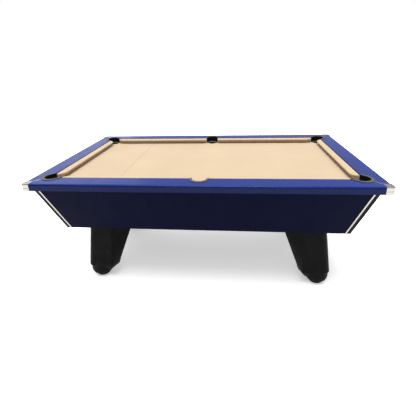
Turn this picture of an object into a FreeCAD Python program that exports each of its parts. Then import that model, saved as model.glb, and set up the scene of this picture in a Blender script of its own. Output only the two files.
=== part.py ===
"""Seven-foot pool table with a tapering cabinet, moulded legs and levelling feet.

Millimetres, +Z up. The origin is on the floor under the middle of the table, +X runs along
the length and +Y across the width. Each piece is built once for the corner or side where X
and Y are positive, and its signs or its Placement put the twins at the other places.
"""
import FreeCAD, Part
import math
import os
import Sketcher

ORIGIN = -1        # Sketcher's index for the sketch's own origin
START, END, CENTRE = 1, 2, 3
UP = FreeCAD.Vector(0, 0, 1)

SIZES = [
    ("play_length", 1829),       # cushion nose to cushion nose
    ("play_width", 914),
    ("cushion_depth", 48),       # rail edge to cushion nose
    ("rail_width", 115),
    ("rail_thick", 44),
    ("rail_round", 12),          # outer top edge of a rail
    ("table_height", 820),       # floor to the top of the rails
    ("bed_drop", 40),            # rail top down to the cloth
    ("nose_height", 34),         # cloth up to the cushion nose
    ("cloth_thick", 1.2),
    ("slate_thick", 22),
    ("slate_lap", 44),           # slate beyond the cushion nose
    ("pocket_shift", 12.5),      # corner pocket centre, in from the rails' inner edges
    ("side_pocket_shift", 3),    # middle pocket centre, out from the rail's inner edge
    ("pocket_wall", 50),         # outer radius of a pocket liner
    ("pocket_mouth", 46),        # inner radius of a pocket liner
    ("liner_gap", 0.3),
    ("slate_hole", 52),          # radius of the slate's pocket holes
    ("flange_radius", 60),
    ("flange_shift", 6),
    ("flange_thick", 3),
    ("drop_radius", 30),         # inside radius of the drop tube
    ("drop_wall", 2.5),
    ("drop_shift", 18.5),          # drop tube centre, in from the pocket centre
    ("drop_bottom", 758),
    ("cap_leg", 50),             # corner casting along each rail
    ("cap_proud", 2),
    ("web_half", 5),             # half the width of the casting's mitre web
    ("screw_inset", 25),         # corner screw, in from the rails' outer faces
    ("cabinet_bottom", 435),
    ("side_top", 597),           # cabinet side's outer face at its top, from the middle
    ("side_bottom", 459),
    ("end_top", 1020),           # cabinet end's outer face at its top, from the middle
    ("end_bottom", 937),
    ("panel_wide", 19.5),        # panel thickness, measured level
    ("post_width", 28),          # corner post along the table's length
    ("post_depth", 37),          # corner post across the table
    ("strip_width", 10),
    ("strip_proud", 1.5),
    ("strip_depth", 5),
    ("base_thick", 18),
    ("bearer_near", 392),        # inner face of a long bearer
    ("bearer_wide", 45),
    ("bearer_deep", 70),
    ("cross_pitch", 600),
    ("run_middle", 485),         # ball run's centre line, from the middle
    ("run_half", 37),
    ("run_wall", 4),
    ("run_deep", 36),
    ("run_floor", 683),          # ball run's floor at the table's middle
    ("run_slope", 1.3),          # degrees, down towards +X
    ("run_length", 1786),
    ("run_centre", -64),
    ("tray_inner", 850),
    ("tray_outer", 938),
    ("tray_half", 486),
    ("tray_floor", 604),
    ("tray_deep", 46),
    ("tray_wall", 4),
    ("return_half", 210),        # ball return opening in the end panel
    ("return_low", 616),
    ("return_high", 692),
    ("bezel_lip", 14),
    ("bezel_proud", 3),
    ("foot_x", 775),
    ("foot_y", 348),
    ("pad_radius", 48),
    ("pad_high", 18),
    ("pad_round", 6),
    ("stem_radius", 8),
    ("stem_bottom", 6.5),
    ("stem_top", 118),
    ("run_fit", 0.05),           # radial clearance of the stem in its pad and nut
    ("collar_across", 24),       # across the flats of the stem's collar and nut
    ("collar_low", 18.4),
    ("collar_high", 25),
    ("nut_low", 26.4),
    ("nut_high", 34),
    ("leg_low", 21.5),
    ("leg_block_low", 100),      # lower edge of a leg's tapering block
    ("leg_skirt_low", 62),       # underside of the block's chamfer
    ("leg_corner_round", 45),
    ("leg_corner_x_top", 820),   # block's outer corner
    ("leg_corner_y_top", 392),
    ("leg_corner_x_low", 855),
    ("leg_corner_y_low", 420),
    ("leg_front_top", 655),      # inner edge of the face along the table's length
    ("leg_front_low", 670),
    ("leg_end_top", 245),        # inner edge of the face across the table
    ("leg_end_low", 236),
    ("leg_inner_x_top", 520),    # corner nearest the table's middle, along its length
    ("leg_inner_y_top", 250),
    ("leg_inner_x_low", 645),
    ("leg_inner_y_low", 318),
    ("leg_back_x_top", 655),     # corner nearest the table's middle, across it
    ("leg_back_y_top", 115),
    ("leg_back_x_low", 660),
    ("leg_back_y_low", 300),
    ("leg_corner_x_skirt", 826),
    ("leg_corner_y_skirt", 402),
    ("leg_front_skirt", 688),
    ("leg_end_skirt", 262),
    ("leg_inner_x_skirt", 656),
    ("leg_inner_y_skirt", 324),
    ("leg_back_x_skirt", 668),
    ("leg_back_y_skirt", 308),
    ("column_top", 330),         # round column that carries the foot
    ("column_x_top", 700),
    ("column_y_top", 340),
    ("column_r_top", 40),
    ("column_wide", 120),
    ("column_x_wide", 757),
    ("column_y_wide", 342),
    ("column_r_wide", 85),
    ("column_r_low", 60),
    ("bowl_low", 34),            # round lower end of the column
    ("bowl_r_low", 73),
    ("bowl_high", 62),
    ("bowl_r_high", 80),
    ("leg_recess", 23),          # radius of the recess over the nut
    ("leg_core", 50),            # radius of the hollow inside a leg
    ("leg_core_x", 725),
    ("leg_core_y", 320),
    ("leg_core_deep", 230),
    ("leg_bolt_radius", 4),
    ("slate_screw_radius", 3),
    ("slate_screw_x", 850),
    ("slate_screw_pitch", 550),
]


class Size:
    """A length that keeps its value beside the spreadsheet expression it comes from."""

    def __init__(self, value, text):
        self.value = float(value)
        self.text = text

    def joined(self, other, sign, value):
        return Size(value, "(%s %s %s)" % (self.text, sign, as_size(other).text))

    def __add__(self, other):
        return self.joined(other, "+", self.value + as_size(other).value)

    def __sub__(self, other):
        return self.joined(other, "-", self.value - as_size(other).value)

    def __mul__(self, other):
        return self.joined(other, "*", self.value * as_size(other).value)

    def __truediv__(self, other):
        return self.joined(other, "/", self.value / as_size(other).value)

    def __neg__(self):
        return self * -1


def as_size(number):
    return number if isinstance(number, Size) else Size(number, "%.9g" % number)


def root(size):
    return Size(math.sqrt(size.value), "sqrt(%s)" % size.text)


doc = FreeCAD.newDocument("pool_table")
sheet = doc.addObject("Spreadsheet::Sheet", "sizes")
S = {}
for row, (alias, number) in enumerate(SIZES, 1):
    sheet.set("A%d" % row, str(number))
    sheet.setAlias("A%d" % row, alias)
    S[alias] = Size(number, "sizes." + alias)
doc.recompute()

# Places that several pieces share.
inner_x = S["play_length"] / 2 + S["cushion_depth"]      # rails' inner edges
inner_y = S["play_width"] / 2 + S["cushion_depth"]
outer_x = inner_x + S["rail_width"]                      # rails' outer faces
outer_y = inner_y + S["rail_width"]
rail_low = S["table_height"] - S["rail_thick"]
bed_top = S["table_height"] - S["bed_drop"]
slate_top = bed_top - S["cloth_thick"]
slate_low = slate_top - S["slate_thick"]
corner_x = inner_x - S["pocket_shift"]                   # corner pocket centre
corner_y = inner_y - S["pocket_shift"]
middle_y = inner_y + S["side_pocket_shift"]              # middle pocket centre
rail_hole = S["pocket_wall"] + S["liner_gap"]
cabinet_high = rail_low - S["cabinet_bottom"]
DIAGONAL = math.sqrt(0.5)

SIDES = {"near": -1, "far": 1}
ENDS = {"left": -1, "right": 1}
CORNERS = [(end, side, ENDS[end], SIDES[side]) for side in SIDES for end in ENDS]
made = []


class Arc:
    """An arc between the outline's points before and after it."""

    def __init__(self, x, y, radius, anticlockwise):
        self.x, self.y, self.radius = as_size(x), as_size(y), as_size(radius)
        self.anticlockwise = anticlockwise


def new_body(name):
    """An empty body whose label is the piece's name."""
    body = doc.addObject("PartDesign::Body", name)
    body.Label = name
    body.Placement = FreeCAD.Placement()
    made.append(body)
    return body


def new_sketch(body, plane, offset=None):
    """A sketch on one of the body's origin planes, moved along its normal by offset."""
    sketch = body.newObject("Sketcher::SketchObject", body.Name + "_sketch")
    flat = [f for f in body.Origin.OriginFeatures if f.Role == plane][0]
    sketch.AttachmentSupport = [(flat, "")]
    sketch.MapMode = "FlatFace"
    if offset is not None:
        sketch.setExpression("AttachmentOffset.Base.z", as_size(offset).text)
    return sketch


def hold(sketch, kind, size, *places):
    """Adds a dimension and binds it to the size's expression."""
    index = sketch.addConstraint(Sketcher.Constraint(kind, *places, size.value))
    sketch.setExpression("Constraints[%d]" % index, size.text)


def hold_point(sketch, curve, end, point):
    hold(sketch, "DistanceX", point[0], ORIGIN, 1, curve, end)
    hold(sketch, "DistanceY", point[1], ORIGIN, 1, curve, end)


def outline(sketch, path):
    """Draws a closed outline through points, with an Arc between two of them where it bends."""
    points = [(as_size(p[0]), as_size(p[1])) for p in path if not isinstance(p, Arc)]
    bends = []
    for here, after in zip(path, path[1:] + path[:1]):
        if not isinstance(here, Arc):
            bends.append(after if isinstance(after, Arc) else None)
    ends = []
    for number, (start, bend) in enumerate(zip(points, bends)):
        finish = points[(number + 1) % len(points)]
        first = FreeCAD.Vector(start[0].value, start[1].value, 0)
        last = FreeCAD.Vector(finish[0].value, finish[1].value, 0)
        if bend is None:
            curve = sketch.addGeometry(Part.LineSegment(first, last), False)
            ends.append((curve, START, END))
            continue
        centre = FreeCAD.Vector(bend.x.value, bend.y.value, 0)
        if not bend.anticlockwise:
            first, last = last, first
        angles = [math.atan2(p.y - centre.y, p.x - centre.x) for p in (first, last)]
        circle = Part.Circle(centre, UP, bend.radius.value)
        curve = sketch.addGeometry(Part.ArcOfCircle(circle, *angles), False)
        ends.append((curve, START, END) if bend.anticlockwise else (curve, END, START))
        hold(sketch, "Radius", bend.radius, curve)
    for number, (curve, first, last) in enumerate(ends):
        after = ends[(number + 1) % len(ends)]
        sketch.addConstraint(Sketcher.Constraint("Coincident", curve, last, after[0], after[1]))
        hold_point(sketch, curve, first, points[number])


def rectangle(sketch, x_low, x_high, y_low, y_high):
    outline(sketch, [(x_low, y_low), (x_high, y_low), (x_high, y_high), (x_low, y_high)])


def circle(sketch, x, y, radius):
    x, y, radius = as_size(x), as_size(y), as_size(radius)
    centre = FreeCAD.Vector(x.value, y.value, 0)
    curve = sketch.addGeometry(Part.Circle(centre, UP, radius.value), False)
    hold_point(sketch, curve, CENTRE, (x, y))
    hold(sketch, "Radius", radius, curve)


def hexagon(sketch, x, y, across):
    """A hexagon about a centre, by the distance across its flats."""
    x, y, reach = as_size(x), as_size(y), as_size(across) / math.sqrt(3)
    turns = [math.radians(60 * k) for k in range(6)]
    outline(sketch, [(x + reach * math.cos(a), y + reach * math.sin(a)) for a in turns])


def feature(body, kind, sketch):
    item = body.newObject("PartDesign::" + kind, body.Name + "_" + kind.lower())
    item.Profile = sketch
    return item


def pad(body, sketch, length, midplane=False):
    item = feature(body, "Pad", sketch)
    item.setExpression("Length", as_size(length).text)
    item.Midplane = midplane
    return item


def cut(body, sketch, length=None, up=False):
    """A pocket from the sketch, downwards unless up is set, right through if length is None."""
    item = feature(body, "Pocket", sketch)
    item.Reversed = up
    if length is None:
        item.Type = "ThroughAll"
        item.Midplane = True
    else:
        item.setExpression("Length", as_size(length).text)
    return item


def loft(body, sketches):
    item = feature(body, "AdditiveLoft", sketches[0])
    item.Sections = sketches[1:]
    item.Ruled = True
    return item


def round_edges(body, base, radius, wanted):
    """Fillets the edges of the last feature whose middle point passes the test."""
    doc.recompute()
    names = []
    for number, edge in enumerate(base.Shape.Edges, 1):
        middle = edge.valueAt((edge.FirstParameter + edge.LastParameter) / 2)
        if wanted(middle, edge):
            names.append("Edge%d" % number)
    item = body.newObject("PartDesign::Fillet", body.Name + "_fillet")
    item.Base = (base, names)
    item.setExpression("Radius", as_size(radius).text)
    return item


def panel_half(top, bottom, height):
    """Half the cabinet's outer size at a height, between its top and bottom sizes."""
    return bottom + (top - bottom) * (height - S["cabinet_bottom"]) / cabinet_high


def turned(points, swap, sign):
    """Puts points given as (along, outward) on a side rail or, swapped, on an end rail."""
    out = []
    for p in points:
        if isinstance(p, Arc):
            along, outward = p.x, p.y * sign
            bend = p.anticlockwise == ((sign > 0) != swap)
            x, y = (outward, along) if swap else (along, outward)
            out.append(Arc(x, y, p.radius, bend))
        else:
            along, outward = as_size(p[0]), as_size(p[1]) * sign
            out.append((outward, along) if swap else (along, outward))
    return out


def mirrored(points, x_sign, y_sign):
    """Puts an outline drawn for the corner where X and Y are positive at another corner."""
    out = []
    for p in points:
        if isinstance(p, Arc):
            bend = p.anticlockwise == (x_sign * y_sign > 0)
            out.append(Arc(p.x * x_sign, p.y * y_sign, p.radius, bend))
        else:
            out.append((as_size(p[0]) * x_sign, as_size(p[1]) * y_sign))
    return out


# --- Top frame: rails, cushions, corner castings and pocket liners ---

def rail(name, swap, sign):
    """A rail with mitred ends, cut round the corner castings, webs and pocket liners."""
    half, width = (outer_y, outer_x) if swap else (outer_x, outer_y)
    pocket_along, pocket_out = (corner_y, corner_x) if swap else (corner_x, corner_y)
    inner = inner_x if swap else inner_y
    mitre = S["web_half"] / DIAGONAL
    lean = S["web_half"] * DIAGONAL
    reach = root(rail_hole * rail_hole - S["web_half"] * S["web_half"]) * DIAGONAL
    bend = rail_hole * DIAGONAL
    slot = pocket_out + bend - inner

    def end(side):
        return [
            ((half - S["cap_leg"]) * side, width),
            ((half - S["cap_leg"]) * side, width - S["cap_leg"] + mitre),
            ((pocket_along + reach - lean) * side, pocket_out + reach + lean),
            Arc(pocket_along * side, pocket_out, rail_hole, True),
            ((pocket_along - bend) * side, pocket_out + bend),
            ((pocket_along - bend - slot) * side, inner),
        ]

    middle = []
    if not swap:
        shift = S["side_pocket_shift"]
        half_mouth = root(rail_hole * rail_hole - shift * shift)
        middle = [(half_mouth, inner), Arc(0, middle_y, rail_hole, True), (-half_mouth, inner)]
    body = new_body(name)
    sketch = new_sketch(body, "XY_Plane", rail_low)
    outline(sketch, turned(end(1) + middle + end(-1)[::-1], swap, sign))
    board = pad(body, sketch, S["rail_thick"])
    outer = (width * sign).value
    top = S["table_height"].value

    def outer_edge(point, edge):
        place = point.x if swap else point.y
        return abs(place - outer) < 0.01 and abs(point.z - top) < 0.01

    round_edges(body, board, S["rail_round"], outer_edge)


def cushion(name, swap, sign, start, finish, jaws):
    """A cushion on its rail, from start to finish along it, with its jaws cut back."""
    inner = inner_x if swap else inner_y
    back = inner * sign
    nose = (inner - S["cushion_depth"]) * sign
    foot = (inner - S["cushion_depth"] * 0.62) * sign
    nose_z = bed_top + S["nose_height"]
    body = new_body(name)
    plane = "XZ_Plane" if swap else "YZ_Plane"
    section = new_sketch(body, plane, -start if swap else start)
    outline(section, [(back, bed_top + 2.5), (foot, bed_top + 2.5), (nose, nose_z - 3),
                      (nose, nose_z + 1), (back, S["table_height"] - 2)])
    bar = pad(body, section, finish - start)
    bar.Reversed = swap
    for place, step, jaw in ((start, 1, jaws[0]), (finish, -1, jaws[1])):
        sketch = new_sketch(body, "XY_Plane", bed_top)
        tip = nose - S["cushion_depth"] * 0.1 * sign
        corner = [(place - step, back - sign), (place - step, tip),
                  (place + S["cushion_depth"] * jaw * step, tip)]
        outline(sketch, [(y, x) for x, y in corner] if swap else corner)
        cut(body, sketch, S["bed_drop"], up=True)


def corner_cap(name, x_sign, y_sign, angle):
    """The plated casting over a corner, with its web along the mitre between two rails.

    Its own origin is on the floor under the rails' outer corner.
    """
    body = new_body(name)
    low = -S["cap_leg"] + 0.2
    bands = [(rail_low - 3, 20, 0.5, 18), (rail_low + 17, 4, -1.5, 18),
             (rail_low + 21, 24.5, 2, 20)]
    for height, thick, proud, bend in bands:
        sketch = new_sketch(body, "XY_Plane", height)
        outline(sketch, [(low, low), (proud, low), (proud, proud - bend),
                         Arc(proud - bend, proud - bend, bend, True),
                         (proud - bend, proud), (low, proud)])
        crown = pad(body, sketch, thick)
    ceiling = (rail_low + 45.5).value

    def crown_edge(point, edge):
        return abs(point.z - ceiling) < 0.01 and max(point.x, point.y) > -10

    round_edges(body, crown, 6, crown_edge)
    web = new_sketch(body, "XY_Plane", rail_low)
    lean = (S["web_half"] - 0.2) * DIAGONAL
    rim = (S["flange_radius"] + S["flange_shift"] + 0.3) * DIAGONAL
    inner = rim - S["rail_width"] - S["pocket_shift"]
    outer = 4 - S["cap_leg"].value
    outline(web, [(inner + lean, inner - lean), (lean + outer, -lean + outer),
                  (-lean + outer, lean + outer), (inner - lean, inner + lean)])
    pad(body, web, S["rail_thick"] + 0.8)
    for radius, deep in ((3.2, 64), (6.2, 18.5)):
        hole = new_sketch(body, "XY_Plane", rail_low + 60)
        circle(hole, -S["screw_inset"], -S["screw_inset"], radius)
        cut(body, hole, deep)
    body.Placement = FreeCAD.Placement(FreeCAD.Vector(), FreeCAD.Rotation(UP, angle))
    body.setExpression("Placement.Base.x", (outer_x * x_sign).text)
    body.setExpression("Placement.Base.y", (outer_y * y_sign).text)


def liner(name, x, y, angle, slope, reach):
    """A pocket liner: rim, bent wall, floor and drop tube. +X of its own frame points out."""
    body = new_body(name)
    wall, mouth = S["pocket_wall"], S["pocket_mouth"]
    floor = rail_low + 2.2

    def arms(outside, inside, shift):
        return [
            (reach - inside * slope, inside), (reach - outside * slope, outside),
            (shift, outside), Arc(shift, 0, outside, False), (shift + outside, 0),
            Arc(shift, 0, outside, False), (shift, -outside),
            (reach - outside * slope, -outside), (reach - inside * slope, -inside),
            (0, -inside), Arc(0, 0, inside, True), (inside, 0),
            Arc(0, 0, inside, True), (0, inside),
        ]

    sides = new_sketch(body, "XY_Plane", floor)
    outline(sides, arms(wall, mouth, as_size(0)))
    pad(body, sides, S["table_height"] - floor)
    rim = new_sketch(body, "XY_Plane", S["table_height"])
    outline(rim, arms(S["flange_radius"], mouth, S["flange_shift"]))
    top = pad(body, rim, S["flange_thick"])
    ceiling = (S["table_height"] + S["flange_thick"]).value
    outer_reach = S["flange_radius"].value - 1

    def rim_edge(point, edge):
        away = math.hypot(point.x - S["flange_shift"].value, point.y)
        outside = away > outer_reach or abs(point.y) > outer_reach
        return abs(point.z - ceiling) < 0.01 and outside

    round_edges(body, top, 2, rim_edge)
    plate = new_sketch(body, "XY_Plane", rail_low + 0.2)
    circle(plate, 0, 0, wall)
    pad(body, plate, 2)
    tube = new_sketch(body, "XY_Plane", S["drop_bottom"])
    circle(tube, -S["drop_shift"], 0, S["drop_radius"] + S["drop_wall"])
    pad(body, tube, rail_low + 0.2 - S["drop_bottom"])
    hole = new_sketch(body, "XY_Plane", S["table_height"])
    circle(hole, -S["drop_shift"], 0, S["drop_radius"])
    cut(body, hole, S["table_height"] - S["drop_bottom"] + 1)
    body.Placement = FreeCAD.Placement(FreeCAD.Vector(), FreeCAD.Rotation(UP, angle))
    body.setExpression("Placement.Base.x", x.text)
    body.setExpression("Placement.Base.y", y.text)


def cap_screws():
    """The countersunk screws through the corner castings."""
    body = new_body("cap_screws")
    body.AllowCompound = True
    head = rail_low + 41.7
    for radius, low, thick in ((3, rail_low - 2, head - rail_low + 2), (5.6, head, 3)):
        sketch = new_sketch(body, "XY_Plane", low)
        for end, side, x_sign, y_sign in CORNERS:
            x, y = outer_x - S["screw_inset"], outer_y - S["screw_inset"]
            circle(sketch, x * x_sign, y * y_sign, radius)
        pad(body, sketch, thick)


# --- Playing bed ---

def pocket_circles(sketch, radius):
    for side in SIDES.values():
        circle(sketch, 0, middle_y * side, radius)
        for end in ENDS.values():
            circle(sketch, corner_x * end, corner_y * side, radius)


def screw_places():
    x_outer, x_inner = S["slate_screw_x"], S["slate_screw_x"] - S["slate_screw_pitch"]
    y = S["bearer_near"] + S["bearer_wide"] / 2
    return [(x * end, y * side) for x in (x_outer, x_inner)
            for end in ENDS.values() for side in SIDES.values()]


def slate():
    """The slate: its long edges and cut-off corners stay clear of the pockets' drop tubes."""
    body = new_body("slate")
    reach_x = S["play_length"] / 2 + S["slate_lap"]
    reach_y = middle_y - S["slate_hole"]
    diagonal = corner_x + corner_y - S["slate_hole"] * math.sqrt(2)
    end_y, side_x = diagonal - reach_x, diagonal - reach_y
    sketch = new_sketch(body, "XY_Plane", slate_low)
    outline(sketch, [(reach_x, -end_y), (reach_x, end_y), (side_x, reach_y),
                     (-side_x, reach_y), (-reach_x, end_y), (-reach_x, -end_y),
                     (-side_x, -reach_y), (side_x, -reach_y)])
    pad(body, sketch, S["slate_thick"])
    radius = S["slate_screw_radius"]
    for size, start, deep in ((radius + 0.4, slate_low - 1, S["slate_thick"] + 2),
                              (radius * 2.1, slate_low + S["slate_thick"] - 4, 5)):
        screws = new_sketch(body, "XY_Plane", start)
        for x, y in screw_places():
            circle(screws, x, y, size)
        cut(body, screws, deep, up=True)


def bed_cloth():
    """The cloth over the slate and under the cushions, with its pocket holes."""
    body = new_body("bed_cloth")
    half_x = S["play_length"] / 2 + S["slate_lap"]
    half_y = S["play_width"] / 2 + S["slate_lap"]
    sketch = new_sketch(body, "XY_Plane", slate_top)
    rectangle(sketch, -half_x, half_x, -half_y, half_y)
    pad(body, sketch, S["cloth_thick"])
    holes = new_sketch(body, "XY_Plane", slate_top - 1)
    pocket_circles(holes, S["slate_hole"] - 1)
    cut(body, holes, S["cloth_thick"] + 2, up=True)


def slate_screws():
    """The screws that hold the slate down to its long bearers."""
    body = new_body("slate_screws")
    body.AllowCompound = True
    head = slate_top - 3.8
    radius = S["slate_screw_radius"]
    for size, low, thick in ((radius, slate_low - 30, head - slate_low + 30),
                             (radius * 2, head, 3.4)):
        sketch = new_sketch(body, "XY_Plane", low)
        for x, y in screw_places():
            circle(sketch, x, y, size)
        pad(body, sketch, thick)


# --- Cabinet ---

def box(name, x_low, x_high, y_low, y_high, low, thick):
    body = new_body(name)
    sketch = new_sketch(body, "XY_Plane", low)
    rectangle(sketch, x_low, x_high, y_low, y_high)
    pad(body, sketch, thick)
    return body


def end_half(height):
    return panel_half(S["end_top"], S["end_bottom"], height)


def side_half(height):
    return panel_half(S["side_top"], S["side_bottom"], height)


def panel(name, swap, sign):
    """A sloping board of the cabinet, between its corner posts."""
    body = new_body(name)
    half = end_half if swap else side_half
    low, high = S["cabinet_bottom"], rail_low
    section = new_sketch(body, "XZ_Plane" if swap else "YZ_Plane")
    outline(section, [(half(low) * sign, low), (half(high) * sign, high),
                      ((half(high) - S["panel_wide"]) * sign, high),
                      ((half(low) - S["panel_wide"]) * sign, low)])
    pad(body, section, S["play_length"] + 400, midplane=True)

    def stop(height):
        if swap:
            return side_half(height) - S["post_depth"] - 0.2
        return end_half(height) - S["post_width"] - S["strip_width"] - 0.2

    ends = new_sketch(body, "YZ_Plane" if swap else "XZ_Plane")
    above, below = high + 5, low - 5
    wide = S["play_length"]
    for side in (-1, 1):
        outline(ends, [(stop(below) * side, below), (stop(above) * side, above),
                       (wide * side, above), (wide * side, below)])
    cut(body, ends)
    return body


def return_opening(body):
    """The hole in an end panel through which the balls are taken."""
    hole = new_sketch(body, "YZ_Plane")
    rectangle(hole, -S["return_half"], S["return_half"], S["return_low"], S["return_high"])
    cut(body, hole)


def return_bezel():
    """The moulded frame round the ball return, flat on the sloping end panel."""
    body = new_body("return_bezel")
    middle = (S["return_low"] + S["return_high"]) / 2
    rise = S["end_top"] - S["end_bottom"]
    tall = root(rise * rise + cabinet_high * cabinet_high) / cabinet_high
    half_high = (S["return_high"] - S["return_low"]) / 2 * tall
    sketch = new_sketch(body, "XY_Plane", 0.2)
    lip = S["bezel_lip"]
    rectangle(sketch, -S["return_half"] - lip, S["return_half"] + lip,
              -half_high - lip, half_high + lip)
    rectangle(sketch, -S["return_half"], S["return_half"], -half_high, half_high)
    pad(body, sketch, S["bezel_proud"])
    angle = math.atan2(rise.value, cabinet_high.value)
    across = FreeCAD.Vector(0, 1, 0)
    upward = FreeCAD.Vector(math.sin(angle), 0, math.cos(angle))
    outward = FreeCAD.Vector(math.cos(angle), 0, -math.sin(angle))
    turn = FreeCAD.Rotation(across, upward, outward, "ZXY")
    body.Placement = FreeCAD.Placement(FreeCAD.Vector(), turn)
    body.setExpression("Placement.Base.x", end_half(middle).text)
    body.setExpression("Placement.Base.z", middle.text)


def corner_loft(name, x_sign, y_sign, plan):
    """A bar up a sloping corner of the cabinet, from its plan at any height."""
    body = new_body(name)
    levels = []
    for height in (S["cabinet_bottom"], rail_low):
        sketch = new_sketch(body, "XY_Plane", height)
        outline(sketch, mirrored(plan(end_half(height), side_half(height)), x_sign, y_sign))
        levels.append(sketch)
    loft(body, levels)


def post_plan(x, y):
    """A corner post, with a rounded outer corner and a rebate behind the metal strip."""
    bend = 5
    inner_edge = x - S["post_width"] - S["strip_width"]
    rebate = y - S["strip_depth"] - 0.2
    return [(inner_edge, y - S["post_depth"]), (x, y - S["post_depth"]), (x, y - bend),
            Arc(x - bend, y - bend, bend, True), (x - bend, y),
            (x - S["post_width"], y), (x - S["post_width"], rebate), (inner_edge, rebate)]


def strip_plan(x, y):
    """A metal strip between a side panel and its corner post."""
    outer_edge = x - S["post_width"] - 0.2
    inner_edge = outer_edge - S["strip_width"] + 0.4
    back = y - S["strip_depth"]
    front = y + S["strip_proud"]
    return [(inner_edge, back), (outer_edge, back), (outer_edge, front), (inner_edge, front)]


def base_board():
    """The cabinet's floor, notched round the posts and drilled for the leg bolts."""
    body = new_body("base_board")
    low = S["cabinet_bottom"]
    x_full = end_half(low) - S["panel_wide"] - 0.5
    y_full = side_half(low) - S["panel_wide"] - 0.5
    x_notch = end_half(low) - S["post_width"] - S["strip_width"] - 0.5
    y_notch = side_half(low) - S["post_depth"] - 0.5
    corner = [(x_full, y_notch), (x_notch, y_notch), (x_notch, y_full)]
    points = []
    for x_sign, y_sign in ((1, 1), (-1, 1), (-1, -1), (1, -1)):
        places = [(x * x_sign, y * y_sign) for x, y in corner]
        points += places if x_sign * y_sign > 0 else places[::-1]
    sketch = new_sketch(body, "XY_Plane", low)
    outline(sketch, points)
    pad(body, sketch, S["base_thick"])
    holes = new_sketch(body, "XY_Plane", low - 1)
    for x, y in leg_bolt_places():
        circle(holes, x, y, S["leg_bolt_radius"] + S["liner_gap"])
    cut(body, holes, S["base_thick"] + 2, up=True)


# --- Ball return ---

def ball_run(name, sign):
    """A trough under the pockets of one side, sloping down to the tray."""
    body = new_body(name)
    half, wall, deep = S["run_half"], S["run_wall"], S["run_deep"]
    middle = S["run_middle"] * sign
    section = new_sketch(body, "YZ_Plane", S["run_centre"])
    outline(section, [
        (middle - half - wall, -wall), (middle + half + wall, -wall),
        (middle + half + wall, deep), (middle + half, deep), (middle + half, 12),
        (middle + half - 12, 0), (middle - half + 12, 0), (middle - half, 12),
        (middle - half, deep), (middle - half - wall, deep)])
    pad(body, section, S["run_length"], midplane=True)
    slope = FreeCAD.Rotation(FreeCAD.Vector(0, 1, 0), S["run_slope"].value)
    body.Placement = FreeCAD.Placement(FreeCAD.Vector(), slope)
    body.setExpression("Placement.Base.z", S["run_floor"].text)


def collection_tray():
    """The open box behind the ball return, where the runs end."""
    wall = S["tray_wall"]
    half, low = S["tray_half"], S["tray_floor"] - wall
    body = box("collection_tray", S["tray_inner"], S["tray_outer"], -half, half,
               low, S["tray_deep"] + wall)
    inside = new_sketch(body, "XY_Plane", S["tray_floor"])
    rectangle(inside, S["tray_inner"] + wall, S["tray_outer"] - wall, wall - half, half - wall)
    cut(body, inside, S["tray_deep"] + 1, up=True)
    reach = new_sketch(body, "XY_Plane", S["return_low"])
    rectangle(reach, S["tray_outer"] - wall - 1, S["tray_outer"] + 1,
              -S["return_half"], S["return_half"])
    cut(body, reach, S["tray_deep"], up=True)


# --- Legs and feet ---

LEG_BOLTS = [(775, 362), (590, 300), (655, 160), (775, 248)]


def leg_bolt_places():
    return [(as_size(x * x_sign), as_size(y * y_sign))
            for end, side, x_sign, y_sign in CORNERS for x, y in LEG_BOLTS]


def leg_plan(level):
    """The five-sided plan of a leg's block at its top, low or skirt level."""
    x, y = S["leg_corner_x_" + level], S["leg_corner_y_" + level]
    bend = S["leg_corner_round"]
    return [(S["leg_front_" + level], y),
            (S["leg_inner_x_" + level], S["leg_inner_y_" + level]),
            (S["leg_back_x_" + level], S["leg_back_y_" + level]),
            (x, S["leg_end_" + level]), (x, y - bend),
            Arc(x - bend, y - bend, bend, True), (x - bend, y)]


def leg(name, x_sign, y_sign):
    """A moulded leg: a tapering block with a round column that carries the foot."""
    body = new_body(name)
    levels = []
    for height, plan in ((S["cabinet_bottom"], leg_plan("top")),
                         (S["leg_block_low"], leg_plan("low")),
                         (S["leg_skirt_low"], leg_plan("skirt"))):
        sketch = new_sketch(body, "XY_Plane", height)
        outline(sketch, mirrored(plan, x_sign, y_sign))
        levels.append(sketch)
    loft(body, levels)
    rings = []
    for height, x, y, radius in (
            (S["leg_low"], S["foot_x"], S["foot_y"], S["column_r_low"]),
            (S["bowl_low"], S["foot_x"], S["foot_y"], S["bowl_r_low"]),
            (S["bowl_high"], S["foot_x"], S["foot_y"], S["bowl_r_high"]),
            (S["column_wide"], S["column_x_wide"], S["column_y_wide"], S["column_r_wide"]),
            (S["column_top"], S["column_x_top"], S["column_y_top"], S["column_r_top"])):
        sketch = new_sketch(body, "XY_Plane", height)
        circle(sketch, x * x_sign, y * y_sign, radius)
        rings.append(sketch)
    loft(body, rings)
    core = new_sketch(body, "XY_Plane", S["cabinet_bottom"])
    circle(core, S["leg_core_x"] * x_sign, S["leg_core_y"] * y_sign, S["leg_core"])
    cut(body, core, S["leg_core_deep"])
    bolts = new_sketch(body, "XY_Plane", S["cabinet_bottom"])
    for x, y in LEG_BOLTS:
        circle(bolts, x * x_sign, y * y_sign, S["leg_bolt_radius"] + S["run_fit"])
    cut(body, bolts, 35)
    for radius, top in ((S["leg_recess"], S["nut_high"]),
                        (S["stem_radius"] + S["liner_gap"], S["stem_top"] + 6)):
        bore = new_sketch(body, "XY_Plane", S["leg_low"] - 1)
        circle(bore, S["foot_x"] * x_sign, S["foot_y"] * y_sign, radius)
        cut(body, bore, top - S["leg_low"] + 1, up=True)


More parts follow.
